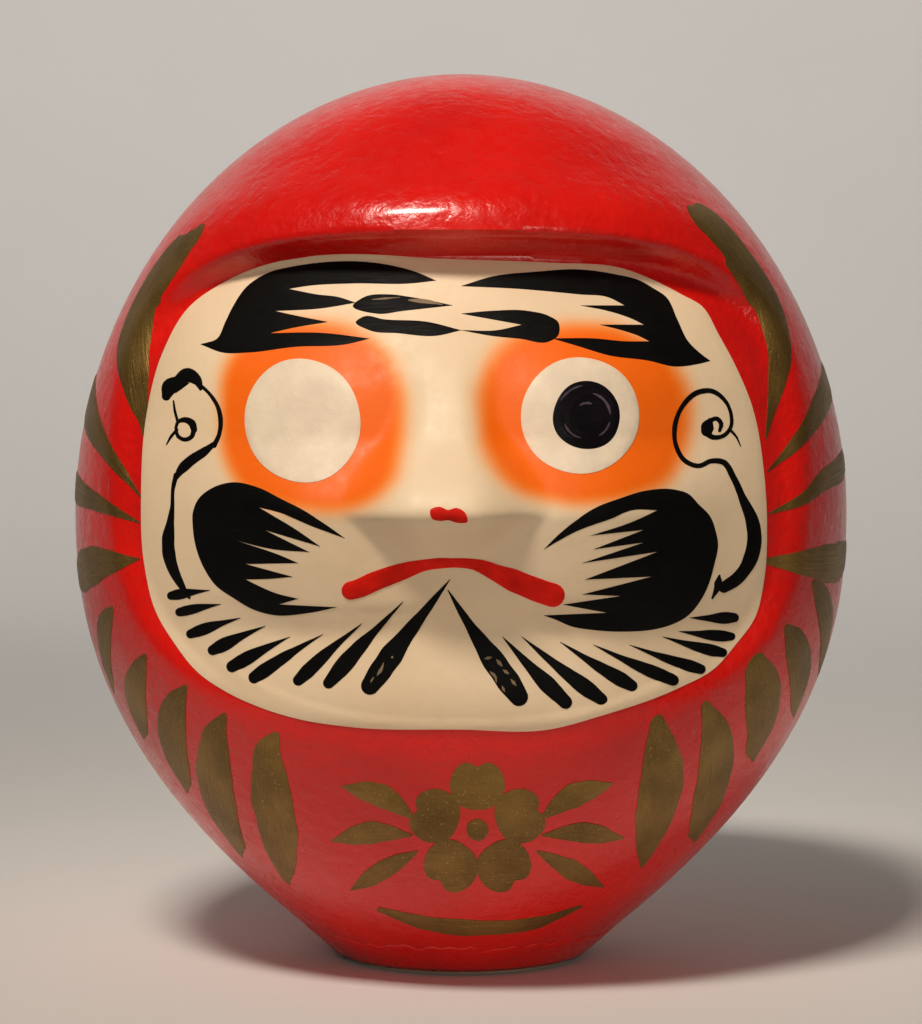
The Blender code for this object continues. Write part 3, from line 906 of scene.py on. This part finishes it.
def paint_face(materials):
    """The ivory field and all that is drawn on it, from the lowest coat up."""
    black = materials["black"]
    coat = [flowing(FACE_OUTLINE, 1.0, closed=True)]
    thick = COAT - COAT_FOOT
    paint("face_coat", coat, materials["ivory"], "ivory_paint", level=COAT_FOOT, thick=thick, edge=1.5)
    for side, (x, z, half_width, half_height, lean) in EYES.items():
        disc = oval(x, z, half_width, half_height, 0.02, 5, lean)
        paint("eye_white_" + side, [disc], materials["chalk"], "ivory_paint", thick=EYE_THICKNESS, edge=0.8)
    x, z, radius = PUPIL
    top = COAT + EYE_THICKNESS
    pupil = [oval(x, z, radius, radius, 0.05, 3)]
    thick = PUPIL_THICKNESS
    paint("pupil_right", pupil, materials["marker"], "black_paint", level=top, thick=thick, grid=0.5)
    # The rounds are marker ink; the sheens are painted highlights laid over them
    for name, arcs, key, lift in (
        ("pupil_rounds", PUPIL_ROUNDS, "marker", 0.10),
        ("pupil_painted_sheens", PUPIL_PAINTED_SHEENS, "sheen", 0.19),
    ):
        patches = [arc_stroke(x, z, *arc, 110 + number) for number, arc in enumerate(arcs)]
        material = materials[key]
        paint(name, patches, material, "black_paint", level=top + lift, thick=0.06, grid=0.35, edge=0.2)
    for side, outline in (("left", BROW_LEFT), ("right", BROW_RIGHT)):
        paint("brow_" + side, [flowing(outline, 0.7, closed=True)], black, "black_paint")
    middle = [flowing(outline, 0.6, closed=True) for outline in MIDDLE_BROWS]
    paint("brow_middle", middle, black, "black_paint", grid=0.7)
    for side, outline in (("left", MOUSTACHE_LEFT), ("right", MOUSTACHE_RIGHT)):
        paint("moustache_" + side, [flowing(outline, 0.7, closed=True)], black, "black_paint")
    for side, strokes in (("left", BEARD_LEFT), ("right", BEARD_RIGHT)):
        patches = [beard_stroke(*stroke, 40 + number) for number, stroke in enumerate(strokes)]
        paint("beard_" + side, patches, black, "black_paint", grid=0.6)
    for side, strokes in (("left", EAR_LEFT), ("right", EAR_RIGHT)):
        patches = all_brushed(strokes, 0.5, 0.05, 60)
        paint("ear_" + side, patches, black, "black_paint", grid=0.5)
    dry = all_brushed(DRY_MARKS, 0.4, 0.12, 100)
    top = COAT + STROKE
    paint("dry_marks", dry, materials["dry"], "black_paint", level=top, thick=0.03, grid=0.4, edge=0.2)
    paint("mouth", [brushed(*MOUTH, 0.6, 0.04, 70)], materials["lip"], "lip_paint", grid=0.7, thick=0.26)
    paint("nose_dab", [flowing(NOSE_DAB, 0.4, closed=True)], materials["lip"], "lip_paint", grid=0.5)


# ---------------------------------------------------------------- gold paint on the body

# Routes as azimuth in degrees and height, and widths in millimetres
LEAVES_LEFT = [
    ([(-58.5, 129.5), (-60.8, 126.6), (-64.9, 122.2), (-65, 116), (-61, 109.6), (-56.4, 103.3),
      (-53.4, 98.6), (-52.4, 95.6)],
     (5.5, 14.0, 16.0, 12.6, 8.6, 5.1, 0.4)),
    ([(-83, 102), (-71.2, 97.2), (-62.4, 92.9), (-56, 89), (-51.4, 85.4)],
     (7.5, 7.2, 6.0, 4.4, 3.0, 1.8, 0.2)),
    ([(-84, 86), (-75, 85.2), (-67, 84.4), (-60.5, 83.4), (-51.7, 81.2)],
     (5.6, 5.3, 4.8, 3.6, 2.6, 1.5, 0.2)),
    ([(-82, 70), (-74, 71.5), (-64, 73.6), (-52, 75)], (5.5, 7.6, 6.6, 4.0, 0.2)),
]
LEAVES_RIGHT = [
    ([(51.8, 132.8), (56.3, 130.2), (58.6, 125.5), (60.5, 118.2), (58.6, 111), (54.2, 104), (51.4, 99.5),
      (49.3, 95.6)],
     (5.0, 14.0, 15.0, 10.7, 5.9, 2.9, 0.3)),
    ([(82, 105), (74.5, 102.9), (64.6, 98.9), (57.1, 94.8), (48.7, 90)],
     (6.0, 5.6, 5.2, 4.4, 3.0, 1.8, 0.2)),
    ([(82, 90.5), (73.9, 89.2), (64, 87.7), (58, 85.4), (48.1, 82.8)],
     (4.6, 4.8, 4.6, 3.8, 2.6, 1.4, 0.2)),
    ([(82, 73.5), (72, 73), (60, 74), (46, 75)], (5.5, 7.4, 6.2, 3.6, 0.2)),
]
RIBS_LEFT = [
    ([(-61.3, 65.8), (-65.8, 62.2), (-70.3, 57), (-73.5, 50)], (1.2, 4.0, 6.0, 6.8, 6.6, 5.0, 1.0)),
    ([(-53.6, 58.4), (-56.6, 55.4), (-61.8, 50), (-67.2, 42.5)], (0.9, 3.6, 5.4, 7.1, 7.5, 6.0, 1.0)),
    ([(-45.2, 53.8), (-48.7, 50.4), (-53.3, 45), (-57.4, 39), (-61, 33.4)],
     (0.9, 4.4, 6.7, 8.4, 8.3, 6.4, 1.0)),
    ([(-38.4, 49.4), (-40.9, 46.4), (-45.2, 39.8), (-50.2, 32.9), (-58.6, 22)],
     (1.1, 5.6, 8.0, 9.1, 9.5, 8.4, 1.6)),
    ([(-29.4, 46.6), (-31.4, 43.9), (-33.6, 37.6), (-37.6, 29.2), (-47, 18)],
     (1.5, 7.2, 9.5, 10.1, 8.9, 6.4, 2.0)),
]
RIBS_RIGHT = [
    ([(61.6, 70.2), (67, 66.1), (73.5, 60), (78.5, 52.5)], (1.6, 5.0, 6.6, 7.2, 7.0, 5.4, 1.0)),
    ([(54.7, 63.1), (59.2, 59.1), (65.2, 53.2), (70.6, 46)], (1.6, 5.3, 7.0, 7.8, 7.6, 6.0, 1.0)),
    ([(48.8, 56.6), (51.8, 52.8), (55.4, 48.3), (59.9, 39.6)], (6.0, 8.4, 9.7, 10.1, 9.7, 8.0, 1.5)),
    ([(39.4, 51), (42.2, 47.5), (46.7, 41), (50.8, 34.6), (59.7, 24.4)],
     (1.8, 5.6, 8.3, 9.3, 9.2, 7.6, 1.2)),
    ([(30.9, 48.6), (32.1, 45.4), (35, 39.2), (38.8, 31.4), (44.6, 21.3)],
     (3.1, 7.1, 10.0, 10.4, 9.8, 6.6, 1.4)),
]

# The blossom and its sprays are drawn on the upright plane, like the face
BLOSSOM_X = 3.0
BLOSSOM_Z = 22.5
PETALS = 5
PETAL_RING = 8.2
PETAL_RADIUS = 5.0
BLOSSOM_HEART = 2.0
SPRAYS = [
    ([(-8.5, 24.5), (-14, 28.5), (-21.5, 30.5)], (0.4, 2.8, 4.4, 3.6, 0.4)),
    ([(-9, 21.5), (-16, 22), (-23.5, 20.5)], (0.4, 2.6, 4.0, 3.2, 0.4)),
    ([(-8, 18.5), (-13.5, 15.5), (-20, 11.5)], (0.4, 2.6, 3.8, 3.0, 0.4)),
    ([(14.5, 24.5), (20, 28.5), (27.5, 31)], (0.4, 2.8, 4.4, 3.6, 0.4)),
    ([(15, 21.5), (22, 22), (29.5, 21)], (0.4, 2.6, 4.0, 3.2, 0.4)),
    ([(14, 18.5), (19.5, 15.5), (26, 12)], (0.4, 2.6, 3.8, 3.0, 0.4)),
    ([(-15, 7.8), (-6, 5.2), (4, 4.4), (14, 5.4), (22, 8.4)], (0.8, 2.4, 2.9, 2.6, 2.0, 0.5)),
]


def charted(route):
    """Azimuths in degrees made arc lengths."""
    return [(azimuth * CHART_MM_PER_DEGREE, z) for azimuth, z in route]


def petal(number):
    """A round petal with a notch at its outer end."""
    lean = math.radians(90.0 + 360.0 / PETALS * number)
    turn = np.linspace(-math.pi, math.pi, 60, endpoint=False)
    notch = 1.0 - 0.22 * np.exp(-((turn / 0.30) ** 2)) - 0.10 * np.cos(turn - math.pi) ** 6
    reach = PETAL_RADIUS * notch
    centre = np.array([BLOSSOM_X + PETAL_RING * math.cos(lean), BLOSSOM_Z + PETAL_RING * math.sin(lean)])
    return centre + np.stack([reach * np.cos(turn + lean), reach * np.sin(turn + lean)], axis=1)


def paint_gold(materials):
    """The gold on the red: leaves at the sides, ribs under the face, and the blossom with its sprays."""
    gold = materials["gold"]
    for name, strokes in (
        ("gold_leaves_left", LEAVES_LEFT),
        ("gold_leaves_right", LEAVES_RIGHT),
        ("gold_ribs_left", RIBS_LEFT),
        ("gold_ribs_right", RIBS_RIGHT),
    ):
        patches = all_brushed([(charted(route), widths) for route, widths in strokes], 1.0, 0.04, 80)
        paint(name, patches, gold, "gold_paint", level=0.0, thick=LEAF, grid=1.0, edge=0.6, lay=wrapped)
    flower = [petal(number) for number in range(PETALS)]
    flower.append(oval(BLOSSOM_X, BLOSSOM_Z, BLOSSOM_HEART, BLOSSOM_HEART, 0.04, 4))
    paint("gold_blossom", flower, gold, "gold_paint", level=0.0, thick=LEAF, edge=0.6)
    sprays = all_brushed(SPRAYS, 0.7, 0.05, 90)
    paint("gold_sprays", sprays, gold, "gold_paint", level=0.0, thick=LEAF, edge=0.6)


# ---------------------------------------------------------------- the doll


def rim_band(material):
    """Paper pasted round the rim, painted over, its torn upper edge pressed thin."""
    columns, rows = 220, 9
    azimuth = np.linspace(-180.0, 180.0, columns, endpoint=False)
    torn = sum(0.25 * np.sin(np.radians(k * azimuth) + 1.3 * k) for k in BAND_TEARS)
    share = np.linspace(0.0, 1.0, rows)[:, None]
    z = BAND_FROM + share * (BAND_TO + torn - BAND_FROM)
    flat = np.stack([np.broadcast_to(azimuth * CHART_MM_PER_DEGREE, z.shape), z], axis=-1).reshape(-1, 2)
    place, out = wrapped(flat)
    thick = BAND_EDGE + (BAND_THICKNESS - BAND_EDGE) * (1.0 - share**2)
    thick = np.broadcast_to(thick, z.shape).reshape(-1, 1)
    points = np.concatenate([place + out * (BAND_GAP + thick), place + out * BAND_GAP])
    loops = [[layer * rows * columns + r * columns for r in range(rows)] for layer in (0, 1)]
    ring = loops[0] + loops[1][::-1]
    faces = []
    for low, high in zip(ring, ring[1:] + ring[:1]):
        for c in range(columns):
            after = (c + 1) % columns
            faces.append((low + c, low + after, high + after, high + c))
    settle(new_mesh("base_rim_band", points, faces, material), "red_paint", "base_rim_strip")


def dress_nodes(materials):
    """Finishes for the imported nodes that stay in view."""
    for node, key in (
        ("base_weight", "clay"),
        ("base_paper", "kraft"),
        ("seam_strip_left", "washi"),
        ("seam_strip_right", "washi"),
        ("seam_strip_crown", "washi"),
    ):
        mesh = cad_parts[node].data
        mesh.materials.clear()
        mesh.materials.append(materials[key])


def build_doll():
    """Everything but the studio: materials, mouldings, paint and the nodes that stay in view."""
    materials = {
        "red": red_paint(),
        "ivory": face_paint(),
        "black": ink("black_paint", (0.0022, 0.0020, 0.0018), (0.035, 0.028, 0.022), 0.5, 0.52),
        "marker": ink("marker_ink", (0.004, 0.003, 0.004), (0.045, 0.030, 0.045), 0.8, 0.34),
        # Painted sheen: a lighter purple-grey with darker streaks that stands for light glancing off the
        # marker ink
        "sheen": ink("marker_painted_sheen", (0.055, 0.040, 0.052), (0.012, 0.010, 0.012), 0.8, 0.30),
        "dry": ink("dry_black", (0.15, 0.105, 0.065), (0.012, 0.010, 0.008), 1.0, 0.55),
        "lip": ink("lip_paint", (0.50, 0.009, 0.004), (0.62, 0.035, 0.020), 0.5, 0.40),
        "gold": gold_paint(),
        "chalk": chalk_paint(),
        "clay": clay(),
        "kraft": paper("kraft_paper", (0.27, 0.18, 0.11), (0.38, 0.27, 0.17), (0.20, 0.13, 0.08), 0.90),
        "washi": paper("washi_paper", (0.70, 0.65, 0.54), (0.84, 0.80, 0.70), (0.90, 0.87, 0.80), 0.86),
    }
    settle(moulding("front_moulding", -90.0, 200, materials["red"]), "red_paint", "front_shell", "nose")
    settle(moulding("back_moulding", 90.0, 150, materials["red"]), "red_paint", "back_shell")
    rim_band(materials["red"])
    paint_face(materials)
    paint_gold(materials)
    dress_nodes(materials)


# ---------------------------------------------------------------- studio

# Floor, in millimetres: from near the camera to the bend, and up the backdrop
FLOOR_NEAR = -2500.0
BEND_Y = 700.0
BEND_RADIUS = 500.0
BACKDROP_TOP = 2200.0
FLOOR_HALF_WIDTH = 2600.0
# Lights and camera, in metres
DOLL_MIDDLE = (0.0, 0.0, 0.08)
BACKDROP_MIDDLE = (0.0, 1.25, 0.55)
SKY_COLOR = (0.80, 0.78, 0.76, 1.0)
SKY_STRENGTH = 0.07
SENSOR = 36.0
LENS = 116.3


def sweep():
    """Pale floor that curves up into a backdrop behind the doll."""
    material, tree, shader, place = new_material("studio_sweep")
    color = blended(tree, noise(tree, place, 9.0), *FLOOR_POOLS)
    tree.links.new(color, shader.inputs["Base Color"])
    shader.inputs["Roughness"].default_value = 0.85
    profile = [(FLOOR_NEAR, 0.0), (BEND_Y, 0.0)]
    for turn in np.linspace(0.1, 0.5 * math.pi, 12):
        rise = BEND_RADIUS - BEND_RADIUS * math.cos(turn)
        profile.append((BEND_Y + BEND_RADIUS * math.sin(turn), rise))
    profile.append((BEND_Y + BEND_RADIUS, BACKDROP_TOP))
    points = [(x, y, z) for x in (-FLOOR_HALF_WIDTH, FLOOR_HALF_WIDTH) for y, z in profile]
    count = len(profile)
    faces = [(i, i + count, i + count + 1, i + 1) for i in range(count - 1)]
    floor = new_mesh("studio_sweep", points, faces, material)


def area_light(name, place, size, spread, power, color, aim=DOLL_MIDDLE):
    """A lamp whose light spreads over an angle in degrees round its aim."""
    light = bpy.data.lights.new(name, "AREA")
    light.shape = "RECTANGLE"
    light.size = size[0]
    light.size_y = size[1]
    light.spread = math.radians(spread)
    light.energy = power
    light.color = color
    lamp = bpy.data.objects.new(name, light)
    lamp.location = place
    lamp.rotation_euler = (Vector(aim) - Vector(place)).to_track_quat("-Z", "Y").to_euler()
    bpy.context.scene.collection.objects.link(lamp)


def studio():
    """Floor, lights and sky. The narrow key and fill keep off the floor in front of the doll, whose
    bounce would lighten the undersides."""
    sweep()
    area_light("key", (-0.22, -0.53, 0.88), (0.22, 0.14), 40.0, 0.43, (1.0, 0.91, 0.80))
    area_light("fill", (0.25, -1.25, 0.24), (0.9, 0.4), 40.0, 0.34, (1.0, 0.90, 0.78))
    area_light("backdrop", (0.0, 0.50, 0.95), (1.6, 0.3), 180.0, 7.5, (1.0, 0.96, 0.92), BACKDROP_MIDDLE)
    world = bpy.data.worlds.new("studio")
    world.use_nodes = True
    sky = world.node_tree.nodes["Background"]
    sky.inputs["Color"].default_value = SKY_COLOR
    sky.inputs["Strength"].default_value = SKY_STRENGTH
    bpy.context.scene.world = world
    bpy.context.scene.view_settings.view_transform = "Standard"


def camera():
    """The camera at the painter's eye."""
    data = bpy.data.cameras.new("camera")
    data.sensor_width = SENSOR
    data.lens = LENS
    eye = bpy.data.objects.new("camera", data)
    eye.location = (0.0, PAINTER_Y * MM, PAINTER_Z * MM)
    aim = Vector((0.0, 0.0, AIM_Z * MM))
    eye.rotation_euler = (aim - eye.location).to_track_quat("-Z", "Y").to_euler()
    bpy.context.scene.collection.objects.link(eye)
    bpy.context.scene.camera = eye


build_doll()
studio()
camera()
